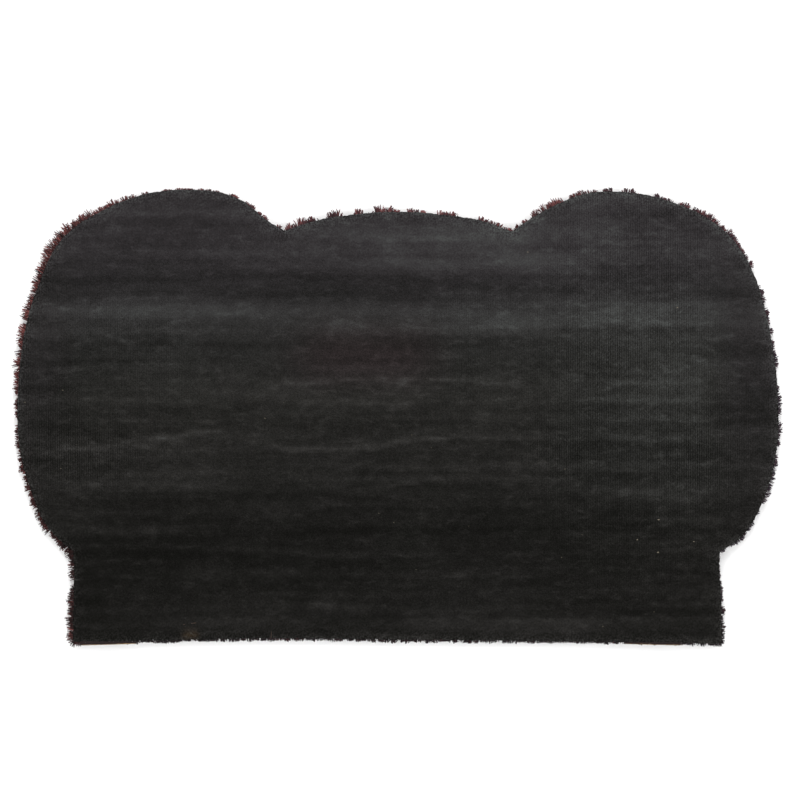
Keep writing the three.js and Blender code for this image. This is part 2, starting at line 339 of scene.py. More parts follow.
# %% Cut the block with the knife line
NICK_DEPTH = 0.4 * MM
NICK_LENGTHS = (0.0043, 0.0071, 0.013)
FOOT_EDGE = (0.215, 0.218)  # how far down the mat the deeper nicks of the foot begin and are whole
ABOVE_RELIEF = VINYL[1].z + 2 * MM


def prism(points, low, high):
    """A closed prism between two heights."""
    bm = bmesh.new()
    ring = [bm.verts.new((x, y, low)) for x, y in points]
    bm.faces.new(ring)
    drawn = bmesh.ops.extrude_face_region(bm, geom=bm.faces[:])["geom"]
    upper = [v for v in drawn if isinstance(v, bmesh.types.BMVert)]
    bmesh.ops.translate(bm, verts=upper, vec=(0, 0, high - low))
    bmesh.ops.recalc_face_normals(bm, faces=bm.faces)
    mesh = bpy.data.meshes.new("prism")
    bm.to_mesh(mesh)
    bm.free()
    return mesh


def cut_with(mesh, cutter):
    """What two closed meshes share."""
    scene = bpy.context.scene
    pair = [bpy.data.objects.new("cut", m) for m in (mesh, cutter)]
    for piece in pair:
        scene.collection.objects.link(piece)
    cut = pair[0].modifiers.new("cut", "BOOLEAN")
    cut.operation, cut.solver, cut.object = "INTERSECT", "MANIFOLD", pair[1]
    done = bpy.data.meshes.new_from_object(pair[0].evaluated_get(bpy.context.evaluated_depsgraph_get()))
    for piece in pair:
        bpy.data.objects.remove(piece)
    return done


nicks = waves(along_edge, NICK_LENGTHS, seed=3) * NICK_DEPTH
nicks *= 1 + smooth_step(-edge[:, 1], *FOOT_EDGE)
nicked_edge = edge + outward * nicks[:, None]
vinyl_mesh = cut_with(block, prism(nicked_edge, UNDERSIDE, ABOVE_RELIEF))
vinyl_mesh.name = "vinyl_sheet"
vinyl_mesh.shade_smooth()
vinyl_mesh.set_sharp_from_angle(angle=SHARP_EDGE)
print(f"vinyl sheet: {sum(len(p.vertices) - 2 for p in vinyl_mesh.polygons)} triangles")

# %% [markdown]
# ## Bloom and painted light on the vinyl
#
# New PVC is black. As it ages, plasticiser and dust come out on it as a grey film, the bloom, and the press
# leaves it in bands along the mat: thick where the sheet was rubbed, thin in the hollows between. We
# describe it in two parts. The broad bands and patches are placed one by one and kept on the mesh as
# attributes, which a material can read at any place. One attribute holds how light the back looks there, on
# the eye's scale from 0 to 1, and another the cast of its grey. Two more say how crisp the ribs are, and
# how near the cut edge is, where the press knife bruised the sheet. The fine streaks, the mottling and the
# specks come from noise in the material.
# The level also holds painted light: it is lighter at the head and darker towards the foot, and the crests of
# the narrow puckers carry a painted highlight.

# %% Bands and patches of bloom
# How light the back is from the head, at the top, to the foot: y in mm and level; partly bloom, partly painted
# light that fades towards the foot
BLOOM_AND_LIGHT_LEVELS = [
    (220, 0.2), (190, 0.195), (140, 0.172), (64, 0.157), (0, 0.146), (-60, 0.134), (-100, 0.1), (-140, 0.088),
    (-165, 0.095), (-221, 0.113),
]

# Bands and patches in mm: the middle, the reach along and across the mat, and how much lighter it is
BLOOM_PATCHES = table("x y along across lift", [
    (260, 30, 110, 160, 0.007),
    (0, 180, 130, 14, 0.03),
    (94, 196, 55, 14, 0.038),
    (130, 176, 90, 9, 0.022),
    (70, 152, 125, 9, 0.045),
    (152, 145, 40, 12, 0.028),
    (240, 158, 40, 9, 0.015),
    (205, 124, 28, 7, 0.03),
    (-265, 160, 80, 16, -0.012),
    (255, 190, 45, 16, -0.018),
    (184, 206, 18, 12, 0.024),
    (-230, 200, 60, 12, -0.018),
    (-180, 131, 240, 13, -0.024),
    (70, 132, 90, 8, 0.014),
    (20, 98, 360, 15, 0.042),
    (-130, 80, 190, 4, -0.018),
    (-290, 104, 60, 8, 0.025),
    (-280, 118, 16, 8, 0.024),
    (-230, 60, 110, 10, -0.012),
    (-310, -21, 55, 7, -0.046),
    (-345, -100, 22, 30, 0.02),
    (318, 62, 45, 14, -0.022),
    (45, 192, 40, 8, -0.022),
    (300, 190, 30, 12, -0.018),
    (115, 155, 25, 8, 0.018),
    (240, 40, 35, 7, 0.02),
    (135, 70, 45, 7, 0.016),
    (-50, 11, 40, 6, 0.018),
    (-145, 52, 50, 8, -0.016),
    (155, -5, 20, 12, -0.02),
    (110, -78, 50, 6, -0.02),
    (-225, -2, 135, 6, -0.02),
    (-70, 22, 32, 5, -0.022),
    (168, 18, 30, 5, -0.026),
    (100, 3, 45, 6, -0.012),
    (-190, 105, 75, 6, 0.022),
    (-40, 117, 130, 8, -0.024),
    (80, 103, 90, 8, 0.016),
    (175, 92, 85, 10, 0.022),
    (122, 93, 26, 11, 0.016),
    (199, 99, 18, 11, 0.03),
    (238, 103, 30, 10, 0.02),
    (285, 98, 30, 8, 0.014),
    (268, 26, 55, 70, 0.03),
    (335, 118, 30, 12, -0.028),
    (305, 28, 50, 18, 0.012),
    (340, 20, 45, 130, -0.006),
    (-63, 66, 75, 6, 0.014),
    (-345, 16, 30, 60, -0.015),
    (-205, 41, 60, 6, 0.012),
    (45, 44, 34, 14, -0.018),
    (16, 12, 22, 5, 0.02),
    (-38, -70, 45, 5, 0.015),
    (130, -30, 140, 18, -0.03),
    (-235, -64, 80, 6, 0.014),
    (0, -88, 160, 9, -0.012),
    (255, -78, 60, 9, 0.02),
    (300, -97, 40, 25, 0.016),
    (-190, -136, 110, 12, -0.008),
    (45, -163, 90, 7, 0.022),
    (-77, -163, 20, 7, 0.016),
    (-146, -155, 70, 7, 0.012),
    (280, -150, 60, 40, 0.01),
    (10, -204, 60, 8, 0.014),
    (-186, -149, 20, 5, 0.022),
    (-133, -153, 20, 6, 0.022),
    (-160, -201, 60, 9, 0.034),
    (-75, -186, 14, 7, 0.022),
    (31, -203, 22, 9, 0.02),
    (115, -197, 80, 9, 0.022),
    (174, -207, 14, 7, 0.02),
    (-270, -155, 60, 22, -0.012),
    (-305, -190, 30, 30, -0.01),
    (-205, -215, 9, 5, 0.1),
])

# The cast of the bloom from the head, at the top, to the foot: y in mm and colour
CASTS = [
    (170, "#fdf0fa"), (135, "#fbf1f9"), (100, "#f8f4f6"), (60, "#f9f7f4"), (20, "#fdf9f3"), (-40, "#fff9f5"),
]

# Patches in mm with a cast of their own: the dye of the brush come through, and a smudge of bare fibre
CAST_PATCHES = table("x y along across cast", [
    (-33, 60, 72, 28, "#ffe0e6"),
    (240, -10, 90, 90, "#fafaf5"),
    (366, 60, 48, 130, "#fff6fb"),
    (-368, 70, 40, 90, "#fff6fa"),
    (-205, -215, 9, 5, "#f0c088"),
])
print(f"bloom: {len(BLOOM_PATCHES)} patches, and {len(CAST_PATCHES)} with their own cast")

# %% Keep the bloom and the painted light on the mesh
BRUISE_WIDTH = 4 * MM
CRISP_RIM_WIDTH = 8 * MM
CRISP_RIM = {"lift": 0.35, "from": (-60 * MM, 20 * MM)}  # y between which it sets in
RIGHT_RIM_BLOOM = {"lift": 0.03, "from": (250 * MM, 330 * MM)}  # x between which it sets in
BAND_WANDER = {"height": 3 * MM, "lengths": (0.09, 0.21, 0.4)}
# The crests of narrow puckers get a painted highlight, paler for each mm that they stand high
NARROW_PUCKER = 10  # mm; the crests of those up to this wide are paler
CREST_HIGHLIGHT = 0.12  # how much paler, for each mm that they are high
PATCH_WOBBLE = 2 * MM


def keep_on_mesh(mesh, name, values):
    """Stores one number for each vertex, for the material to read."""
    mesh.attributes.new(name, "FLOAT", "POINT").data.foreach_set("value", values.astype(np.float32))


def distance_to_edge(x, y):
    """How far each place is from the knife line."""
    tree = KDTree(len(edge))
    for i, point in enumerate(edge):
        tree.insert((*point, 0), i)
    tree.balance()
    return np.array([tree.find((*place, 0))[2] for place in zip(x, y)])


def cast_at(x, y):
    """The colour that tints the bloom at each place, as linear red, green, blue and alpha."""
    heights = np.array([height for height, _ in CASTS[::-1]]) * MM
    channels = np.array([from_hex(colour) for _, colour in CASTS[::-1]]).T
    colours = np.column_stack([np.interp(y, heights, channel) for channel in channels])
    for row in CAST_PATCHES:
        colours += (np.array(from_hex(row["cast"])) - colours) * patch(x, y, row)[:, None]
    return colours


x, y, _ = corners_of(vinyl_mesh).T
# The level falls from the head to the foot: partly bloom, partly painted light.
heights, levels = np.array(BLOOM_AND_LIGHT_LEVELS[::-1]).T
wander = waves(x, BAND_WANDER["lengths"], seed=5) * BAND_WANDER["height"]
bloom = np.interp(y + wander, heights * MM, levels)
bloom += patches(x, y, BLOOM_PATCHES, PATCH_WOBBLE)
depth_in = distance_to_edge(x, y)
in_rim = np.exp(-depth_in / CRISP_RIM_WIDTH)
bloom += RIGHT_RIM_BLOOM["lift"] * in_rim * smooth_step(x, *RIGHT_RIM_BLOOM["from"])
# A painted highlight along the crests of the narrow puckers is added to the level
crests = sum(row["height"] * pucker(x, y, row) for row in PUCKERS if row["width"] <= NARROW_PUCKER)
keep_on_mesh(vinyl_mesh, "bloom", bloom + CREST_HIGHLIGHT * crests)
crisp_rim = CRISP_RIM["lift"] * in_rim * smooth_step(y, *CRISP_RIM["from"])
keep_on_mesh(vinyl_mesh, "crisp", patches(x, y, CRISP_PATCHES, CRISP_WOBBLE) + crisp_rim)
keep_on_mesh(vinyl_mesh, "rim", np.exp(-depth_in / BRUISE_WIDTH))
vinyl_mesh.attributes.new("cast", "FLOAT_COLOR", "POINT").data.foreach_set("color", cast_at(x, y).ravel())
print(f"bloom: from {bloom.min():.3f} to {bloom.max():.3f}")

# %% [markdown]
# ## Soft black PVC, cast on a ribbed belt
#
# Plasticised PVC has an IOR of about 1.53. This one is soft and matt, with a weak gloss. Its colour here is
# the level of bloom and painted light, turned to linear light by a power of 2.2 and tinted by the cast. Five
# noises make the level uneven: bands and clouds one to three fingers wide, a mottling, smears stretched along
# the mat, as the bloom was wiped that way, and a grain that is as fine as the render can show. They go into
# the level before it is turned to light, so that they look as strong on dark places as on pale ones. The
# crests of the ribs are a little paler than the hollows, in beads about 2 mm long: partly where the belt's
# weave touched them, partly painted light on the crests and painted shade in the hollows. Specks of fibre
# dust lie on all this, and the grain gives a bump.

# %% Values of the PVC
# Noises that make the bloom uneven: size and length along the mat in mm, which part of the noise counts,
# and by how much that part changes the level
UNEVENNESS = [
    {"name": "bands", "size": 13, "length": 260, "detail": 1, "from": (0, 1), "to": (-0.05, 0.05)},
    {"name": "clouds", "size": 34, "length": 50, "detail": 2, "from": (0, 1), "to": (-0.032, 0.032)},
    {"name": "mottling", "size": 8, "length": 10, "detail": 4, "from": (0, 1), "to": (-0.038, 0.038)},
    {"name": "smears", "size": 7, "length": 18, "detail": 3, "from": (0.52, 0.72), "to": (-0.004, 0.038)},
    {"name": "grain", "size": 1.7, "length": 1.7, "detail": 2, "from": (0, 1), "to": (-0.073, 0.073)},
]
NOISE_ROUGHNESS = 0.65
CRISP_UNEVENNESS = 0.35  # how much stronger the noises are where the ribs are crisp
MIDDLE_OF_NOISE = (0.35, 0.65)
BEAD_SIZE = 1.9 * MM
# On the ribs the crests are painted paler and the hollows darker: painted light and shade on the relief,
# varied in beads
RIB_SHADE_AND_BEAD_CONTRAST = (0.01, 0.075)  # how much a rib changes the level between its beads and on them
BRUISE_LIFT = (-0.07, 0.11)  # how dark and how light the press knife left the bruised rim
SPECK_SPACING = 11 * MM
SPECK_LENGTHENING = 0.6
SPECK_CHANCE = 0.45  # the share of the cells that hold none
SPECK_COLOUR = "#5e584d"
SPECK_SIZE = 0.062  # of the largest specks, as a share of their spacing
EYE_POWER = 2.2
THICK_BLOOM = (0.19, 0.3)  # levels between which the bloom turns from the local cast to its own cool grey
THICK_COLOUR = "#f4fbf8"
FILM_ALBEDO = 0.63
GLOSS_TINT = "#ffffee"  # of the plasticiser on the surface
PVC_IOR = 1.53
PVC_SPECULAR = 0.05  # the bloom leaves little of the gloss of new PVC
PVC_ROUGHNESS = (0.5, 0.65)
GRAIN_RELIEF = 0.12 * MM

print("noises, in mm:", {row["name"]: row["size"] for row in UNEVENNESS})

# %% PVC: the uneven level of the bloom and the painted light
pvc = bpy.data.materials.new("soft_black_pvc")
pvc.use_nodes = True
tree = pvc.node_tree
shader = tree.nodes["Principled BSDF"]
place = add_node(tree, "ShaderNodeTexCoord").outputs["Object"]
# This attribute holds the bloom and the painted light.
bloom_level = add_node(tree, "ShaderNodeAttribute", attribute_name="bloom").outputs["Fac"]
crispness = add_node(tree, "ShaderNodeAttribute", attribute_name="crisp").outputs["Fac"]
edge_share = add_node(tree, "ShaderNodeAttribute", attribute_name="rim").outputs["Fac"]
cast = add_node(tree, "ShaderNodeAttribute", attribute_name="cast").outputs["Color"]

uneven, noises = 0, {}
for row in UNEVENNESS:
    squeeze = (row["size"] / row["length"], 1, 1)
    squeezed = add_node(tree, "ShaderNodeMapping", {"Vector": place, "Scale": squeeze})
    noise = add_node(tree, "ShaderNodeTexNoise", {
        "Vector": squeezed, "Scale": 1 / (row["size"] * MM), "Detail": row["detail"],
        "Roughness": NOISE_ROUGHNESS})
    part = add_node(tree, "ShaderNodeMapRange", {
        0: noise, 1: row["from"][0], 2: row["from"][1], 3: row["to"][0], 4: row["to"][1]})
    uneven = add_node(tree, "ShaderNodeMath", {0: part, 1: uneven}, operation="ADD")
    noises[row["name"]] = noise
strength = add_node(
    tree, "ShaderNodeMath", {0: crispness, 1: CRISP_UNEVENNESS, 2: 1}, operation="MULTIPLY_ADD")
level = add_node(tree, "ShaderNodeMath", {0: uneven, 1: strength, 2: bloom_level}, operation="MULTIPLY_ADD")

print(f"uneven level: {len(tree.nodes)} nodes")

# %% PVC: ribs and the bruised rim
along_mat = add_node(tree, "ShaderNodeSeparateXYZ", {0: place}).outputs["X"]
rib_angle = add_node(tree, "ShaderNodeMath", {0: along_mat, 1: 2 * np.pi / RIB_PITCH}, operation="MULTIPLY")
rib_wave = add_node(tree, "ShaderNodeMath", {0: rib_angle}, operation="COSINE")
beads = add_node(tree, "ShaderNodeTexNoise", {"Vector": place, "Scale": 1 / BEAD_SIZE, "Detail": 1})
rib_shade_and_beads = add_node(tree, "ShaderNodeMapRange", {
    0: beads, 1: MIDDLE_OF_NOISE[0], 2: MIDDLE_OF_NOISE[1], 3: RIB_SHADE_AND_BEAD_CONTRAST[0], 4: RIB_SHADE_AND_BEAD_CONTRAST[1]})
# Crests painted paler and hollows darker: painted light and shade on the ribs, in beads
ribs = add_node(tree, "ShaderNodeMath", {0: rib_wave, 1: rib_shade_and_beads}, operation="MULTIPLY")
level = add_node(tree, "ShaderNodeMath", {0: ribs, 1: crispness, 2: level}, operation="MULTIPLY_ADD")
bruises = add_node(tree, "ShaderNodeMapRange", {
    0: noises["grain"], 1: MIDDLE_OF_NOISE[0], 2: MIDDLE_OF_NOISE[1], 3: BRUISE_LIFT[0], 4: BRUISE_LIFT[1]})
level = add_node(tree, "ShaderNodeMath", {0: bruises, 1: edge_share, 2: level}, operation="MULTIPLY_ADD")

print(f"with ribs and rim: {len(tree.nodes)} nodes")

# %% PVC: from the level to the colour of the film
light = add_node(tree, "ShaderNodeMath", {0: level, 1: EYE_POWER}, operation="POWER")
film = add_node(tree, "ShaderNodeMath", {0: light, 1: FILM_ALBEDO}, operation="MULTIPLY")
grey = add_node(tree, "ShaderNodeCombineColor", {0: film, 1: film, 2: film})
thick = add_node(tree, "ShaderNodeMapRange", {0: level, 1: THICK_BLOOM[0], 2: THICK_BLOOM[1]})
hue = add_node(tree, "ShaderNodeMix", {0: thick, 6: cast, 7: from_hex(THICK_COLOUR)}, data_type="RGBA")
toned = add_node(tree, "ShaderNodeMix", {0: 1, 6: grey, 7: hue}, data_type="RGBA", blend_type="MULTIPLY")

print(f"with the film: {len(tree.nodes)} nodes")

# %% PVC: specks, gloss and grain
long_way = add_node(tree, "ShaderNodeMapping", {"Vector": place, "Scale": (SPECK_LENGTHENING, 1, 1)})
specks = add_node(
    tree, "ShaderNodeTexVoronoi", {"Vector": long_way, "Scale": 1 / SPECK_SPACING, "Randomness": 1})
chance = add_node(tree, "ShaderNodeSeparateColor", {0: specks.outputs["Color"]})
radius = add_node(tree, "ShaderNodeMapRange", {0: chance, 1: SPECK_CHANCE, 2: 1, 3: 0, 4: SPECK_SIZE})
speck = add_node(tree, "ShaderNodeMath", {0: specks, 1: radius}, operation="LESS_THAN")
faint = add_node(tree, "ShaderNodeMath", {0: speck, 1: chance.outputs["Green"]}, operation="MULTIPLY")
specked = add_node(tree, "ShaderNodeMix", {0: faint, 6: toned, 7: from_hex(SPECK_COLOUR)}, data_type="RGBA")
tree.links.new(specked.outputs[2], shader.inputs["Base Color"])
matt = add_node(tree, "ShaderNodeMapRange", {0: noises["mottling"], 3: PVC_ROUGHNESS[0], 4: PVC_ROUGHNESS[1]})
tree.links.new(matt.outputs[0], shader.inputs["Roughness"])
shader.inputs["IOR"].default_value = PVC_IOR
shader.inputs["Specular IOR Level"].default_value = PVC_SPECULAR
shader.inputs["Specular Tint"].default_value = from_hex(GLOSS_TINT)
bump = add_node(tree, "ShaderNodeBump", {"Height": noises["grain"], "Distance": GRAIN_RELIEF, "Strength": 1})
tree.links.new(bump.outputs[0], shader.inputs["Normal"])

vinyl_sheet = new_piece("vinyl_sheet", vinyl_mesh, pvc)
print(f"{pvc.name}: {len(tree.nodes)} nodes")

# %% [markdown]
# ## Dyed coir
#
# Coir is the husk fibre of the coconut: stiff, dull, 0.2 to 0.5 mm thick, and sold in bunches that cling
# together. These bunches are dyed a reddish brown, which goes on unevenly, so each one gets a shade of its
# own, kept as an attribute. A bunch is paler at its tip, where the knife cut it and the dye is rubbed off.
# A second attribute holds how much grey dirt has dulled it.
# Along the rim the shade is also darker towards the foot, partly as painted shade.

# %% Coir materials
DIRT = "#2c2832"
DUST = {"size": 3 * MM, "strength": 0.5}
FIBRE = {"size": 0.4 * MM, "relief": 0.1 * MM}
COIR_ROUGHNESS = 0.85
COIR_SPECULAR = 0.25


def coir_material(name, dark, middle, pale):
    """Rough fibre in three shades: each bunch's own shade, and paler towards its tip."""
    material = bpy.data.materials.new(name)
    material.use_nodes = True
    tree = material.node_tree
    shader = tree.nodes["Principled BSDF"]
    place = add_node(tree, "ShaderNodeTexCoord").outputs["Object"]
    shade = add_node(tree, "ShaderNodeAttribute", attribute_name="shade").outputs["Fac"]
    dust = add_node(tree, "ShaderNodeTexNoise", {"Vector": place, "Scale": 1 / DUST["size"], "Detail": 3})
    dusty = add_node(tree, "ShaderNodeMath", {0: dust, 1: DUST["strength"], 2: -DUST["strength"] / 2},
                     operation="MULTIPLY_ADD")
    mixed = add_node(tree, "ShaderNodeMath", {0: shade, 1: dusty}, operation="ADD")
    ramp = add_node(tree, "ShaderNodeValToRGB", {0: mixed})
    for position, colour in ((0, dark), (1, pale)):
        stop = ramp.color_ramp.elements[position]
        stop.position, stop.color = position, from_hex(colour)
    ramp.color_ramp.elements.new(0.5).color = from_hex(middle)
    dirt = add_node(tree, "ShaderNodeAttribute", attribute_name="dirt").outputs["Fac"]
    dulled = add_node(
        tree, "ShaderNodeMix", {0: dirt, 6: ramp.outputs[0], 7: from_hex(DIRT)}, data_type="RGBA")
    tree.links.new(dulled.outputs[2], shader.inputs["Base Color"])
    fibre = add_node(tree, "ShaderNodeTexNoise", {"Vector": place, "Scale": 1 / FIBRE["size"], "Detail": 2})
    bump = add_node(tree, "ShaderNodeBump", {"Height": fibre, "Distance": FIBRE["relief"]})
    tree.links.new(bump.outputs[0], shader.inputs["Normal"])
    shader.inputs["Roughness"].default_value = COIR_ROUGHNESS
    shader.inputs["Specular IOR Level"].default_value = COIR_SPECULAR
    print(f"{name}: {len(tree.nodes)} nodes")
    return material


dyed_coir = coir_material("dyed_coir", "#170c0c", "#3f201f", "#7c4845")
raw_coir = coir_material("raw_coir", "#3d2c1e", "#6f5638", "#a08660")

# %% [markdown]
# ## The bed of the brush
#
# Deep inside, the brush is so dense that no single fibre shows. A plain dark slab stands for that part. Its
# outline is the knife line, drawn in a little, which leaves room for the loose fibres round it.

# %% Bed slab
BED_INSET = 2.6 * MM
BED_HEIGHTS = (4 * MM, UNDERSIDE - 0.15 * MM)
BED_EVERY = 3  # the bed needs only every third point of the edge
BED_SHADE = 0.12

bed_edge = edge[::BED_EVERY] - outward[::BED_EVERY] * BED_INSET
bed_mesh = prism(bed_edge, *BED_HEIGHTS)
bed_mesh.name = "coir_bed"
keep_on_mesh(bed_mesh, "shade", np.full(len(bed_mesh.vertices), BED_SHADE))
new_piece("coir_bed", bed_mesh, dyed_coir)
print(f"coir_bed: {len(bed_mesh.polygons)} faces, {1000 * (BED_HEIGHTS[1] - BED_HEIGHTS[0]):.1f} mm thick")

# %% [markdown]
# ## One strand, many times
#
# A strand is a thin cone frustum with three sides, and a long one is cut across twice so that it can bend.
# Thousands of copies are joined into one mesh with arrays: each copy runs from its own root, past a point
# that bends it, to its own tip.

# %% Strand and the function that joins copies of it
TIP_RADIUS = 0.6  # a share of the radius at the root
TIP_PALING = 0.25  # how much paler a strand is at its tip
ACROSS_ANY = (0.31, 0.27, 0.91)  # a direction that no strand runs along, to find its sides from
FLOOR_GAP = 0.05 * MM  # the floor holds up every strand that would reach it


def strand_template(cuts):
    """A three-sided strand along +Z from 0 to 1, with a radius of 1 at its root and less at its tip."""
    bm = bmesh.new()
    bmesh.ops.create_cone(bm, segments=3, radius1=1, radius2=TIP_RADIUS, depth=1, cap_ends=True)
    bmesh.ops.translate(bm, verts=bm.verts, vec=(0, 0, 0.5))
    for height in cuts:
        bmesh.ops.bisect_plane(
            bm, geom=[*bm.verts, *bm.edges, *bm.faces], plane_co=(0, 0, height), plane_no=(0, 0, 1))
    bmesh.ops.triangulate(bm, faces=bm.faces)
    corners = np.array([v.co for v in bm.verts])
    faces = np.array([[v.index for v in f.verts] for f in bm.faces])
    bm.free()
    return corners, faces


def joined_strands(name, material, strand, root, bend, tip, radius, shade, dirt=0):
    """One mesh of many strands. root, bend and tip hold a point for each, the rest a number."""
    corners, faces = strand
    t = corners[None, :, 2, None]
    spine = (1 - t) ** 2 * root[:, None] + 2 * t * (1 - t) * bend[:, None] + t ** 2 * tip[:, None]
    way = tip - root
    way /= np.linalg.norm(way, axis=1)[:, None]
    side = np.cross(way, ACROSS_ANY)
    side /= np.linalg.norm(side, axis=1)[:, None]
    over = np.cross(way, side)
    spread = corners[None, :, 0, None] * side[:, None] + corners[None, :, 1, None] * over[:, None]
    vertices = (spine + spread * radius[:, None, None]).reshape(-1, 3)
    vertices[:, 2] = np.maximum(vertices[:, 2], FLOOR_GAP)
    firsts = np.arange(len(root)) * len(corners)
    mesh = bpy.data.meshes.new(name)
    mesh.from_pydata(vertices, [], (firsts[:, None, None] + faces[None]).reshape(-1, 3))
    shades = shade[:, None] + TIP_PALING * corners[None, :, 2]
    keep_on_mesh(mesh, "shade", shades.ravel())
    keep_on_mesh(mesh, "dirt", np.repeat(np.broadcast_to(dirt, len(root)), len(corners)))
    print(f"{name}: {len(root)} strands, {len(mesh.polygons)} triangles")
    return new_piece(name, mesh, material)


LONG_STRAND = strand_template((0.35, 0.7))
SHORT_STRAND = strand_template(())

# %% [markdown]
# ## The face of the brush
#
# Under the bed, the ends of the bunches stand on the floor. The face is hidden in the photograph, so it is
# finished plainly: one even field of short strands that end just above the floor. Feet have pressed them
# over, so they lean every way, and hide the bed.

# %% Strands of the face
FACE_PITCH = 2.3 * MM
FACE_LEAN = 1.5 * MM
FACE_ROOT = BED_HEIGHTS[0] + 0.4 * MM
FACE_TIPS = (0.3, 1.6)  # mm above the floor
FACE_RADIUS = (0.6, 1.1)  # mm
FACE_SHADE = (0, 0.6)
RING_EVERY = 4  # a coarser ring is quicker to test
FACE_SPLITS = (-120 * MM, 120 * MM)  # x between the three pieces of the face, to keep each one light


def inside(points, ring):
    """Which points lie inside a closed ring, by counting how often a ray crosses it."""
    x, y = points.T
    result = np.zeros(len(points), bool)
    for (x0, y0), (x1, y1) in zip(ring, np.roll(ring, -1, axis=0)):
        crosses = (y0 > y) != (y1 > y)
        with np.errstate(divide="ignore", invalid="ignore"):
            result ^= crosses & (x < (x1 - x0) * (y - y0) / (y1 - y0) + x0)
    return result


random = np.random.default_rng(61)
columns = np.arange(VINYL[0].x, VINYL[1].x, FACE_PITCH)
rows = np.arange(VINYL[0].y, VINYL[1].y, FACE_PITCH)
places = np.stack(np.meshgrid(columns, rows), axis=-1).reshape(-1, 2)
places += random.uniform(-0.5, 0.5, places.shape) * FACE_PITCH
places = places[inside(places, bed_edge[::RING_EVERY])]
count = len(places)
face_root = np.column_stack([places, np.full(count, FACE_ROOT)])
leaned = places + random.normal(0, FACE_LEAN, (count, 2))
face_tip = np.column_stack([leaned, random.uniform(*FACE_TIPS, count) * MM])
face_shade = random.uniform(*FACE_SHADE, count)
face_radius = random.uniform(*FACE_RADIUS, count) * MM
third = np.searchsorted(FACE_SPLITS, places[:, 0])
for i, side in enumerate(("left", "middle", "right")):
    chosen = third == i
    joined_strands(f"coir_face_{side}", dyed_coir, SHORT_STRAND, face_root[chosen],
                   (face_root[chosen] + face_tip[chosen]) / 2, face_tip[chosen], face_radius[chosen],
                   face_shade[chosen])

# %% [markdown]
# ## The ragged rim
#
# Round the edge the brush has no neighbours to hold it, so it splays. Two kinds of strand make it. The wall
# strands hang nearly straight down from the vinyl, and close the side. The loose strands lean out past the
# cut edge in small tufts, as far as a table says for each part of the edge: far on the left, hardly at all
# along the foot. A second table gives their shade and dirt. Both are spread over the whole edge by straight
# lines between their rows.
# Towards the foot and the lower left their shade is darker, partly as painted shade where less light falls.

# %% How far the brush stands out
# Places on the edge in mm, how far the loose strands reach past them, and the share of the edge they fill
REACH = table("x y reach fill", [
    (-321, -222, 6, 1), (-306, -221, 1.6, 1), (-225, -220, 2.3, 1), (0, -219, 3, 1),
    (-274, -220, 2.7, 1), (85, -220, 3, 1), (150, -221, 2, 0.9), (250, -223, 1.8, 0.9),
    (319, -223, 3, 0.7), (318, -195, 3.5, 0.7), (316, -150, 1, 0.3), (317, -133, 2, 0.5),
    (335, -121, 2.8, 0.6), (352, -97, 2.6, 0.5), (365, -65, 4.2, 0.7), (374, -20, 4, 0.7),
    (374, 30, 3.8, 0.7), (366, 84, 3.4, 0.8), (349, 144, 4, 0.9), (318, 186, 5.5, 0.8),
    (282, 207, 4.2, 0.6), (250, 217, 3.6, 0.5), (215, 222, 3.3, 0.5), (175, 218, 4, 0.6),
    (155, 210, 7, 0.7), (125, 190, 3.8, 0.6), (112, 183, 2.2, 0.5), (84, 192, 4, 0.5),
    (66, 196, 4.8, 0.5), (30, 200, 3.2, 0.5), (0, 202, 3.6, 0.5), (-20, 202, 6.5, 0.6),
    (-55, 198, 6.6, 0.6), (-80, 193, 4, 0.6), (-105, 186, 8, 0.7), (-112, 183, 3, 0.6),
    (-140, 202, 2.4, 0.5), (-190, 223, 1.3, 0.4), (-238, 222, 1.6, 0.4), (-268, 214, 4, 0.6),
    (-300, 200, 7, 0.8), (-335, 170, 9.5, 0.9), (-356, 125, 6.7, 0.9), (-370, 75, 8, 0.9),
    (-375, 20, 3.8, 0.5), (-374, -30, 3.8, 0.7), (-362, -70, 5.4, 1), (-345, -110, 6, 1),
    (-320, -133, 7.5, 1), (-320, -150, 8.2, 0.9), (-320, -175, 5.5, 0.8), (-320, -200, 8, 1),
])

# The middle shade of the loose strands, and how dirty they are: bright at the head and upper left, grey at the
# right, dark at the foot and lower left, partly as painted shade
RIM_TONES_AND_PAINTED_SHADE = table("x y shade dirt", [
    (-321, -222, 0.05, 0), (-290, -221, -0.25, 0.15), (319, -223, -0.25, 0.2), (335, -121, 0.1, 0.75),
    (366, 84, 0.25, 0.65), (318, 186, 0.35, 0.35), (220, 221, 0.2, 0.4), (155, 210, 0.42, 0.2),
    (0, 202, 0.45, 0.25), (-140, 202, 0.42, 0.25), (-335, 170, 0.36, 0), (-370, 75, 0.38, 0),
    (-374, -30, 0.26, 0), (-345, -110, 0.03, 0), (-320, -175, 0.02, 0),
])


def along_table(rows, key):
    """A column of the table, smoothly for every point of the edge."""
    marks = np.array([(row["x"], row["y"]) for row in rows]) * MM
    nearest = [np.argmin(np.linalg.norm(edge - mark, axis=1)) for mark in marks]
    return np.interp(along_edge, along_edge[nearest], [row[key] for row in rows], period=edge_length)


reach = along_table(REACH, "reach") * MM
fill = along_table(REACH, "fill")
rim_tone_and_painted_shade = along_table(RIM_TONES_AND_PAINTED_SHADE, "shade")
dirt = along_table(RIM_TONES_AND_PAINTED_SHADE, "dirt")
print(f"brush: stands out from {1000 * reach.min():.1f} to {1000 * reach.max():.1f} mm")

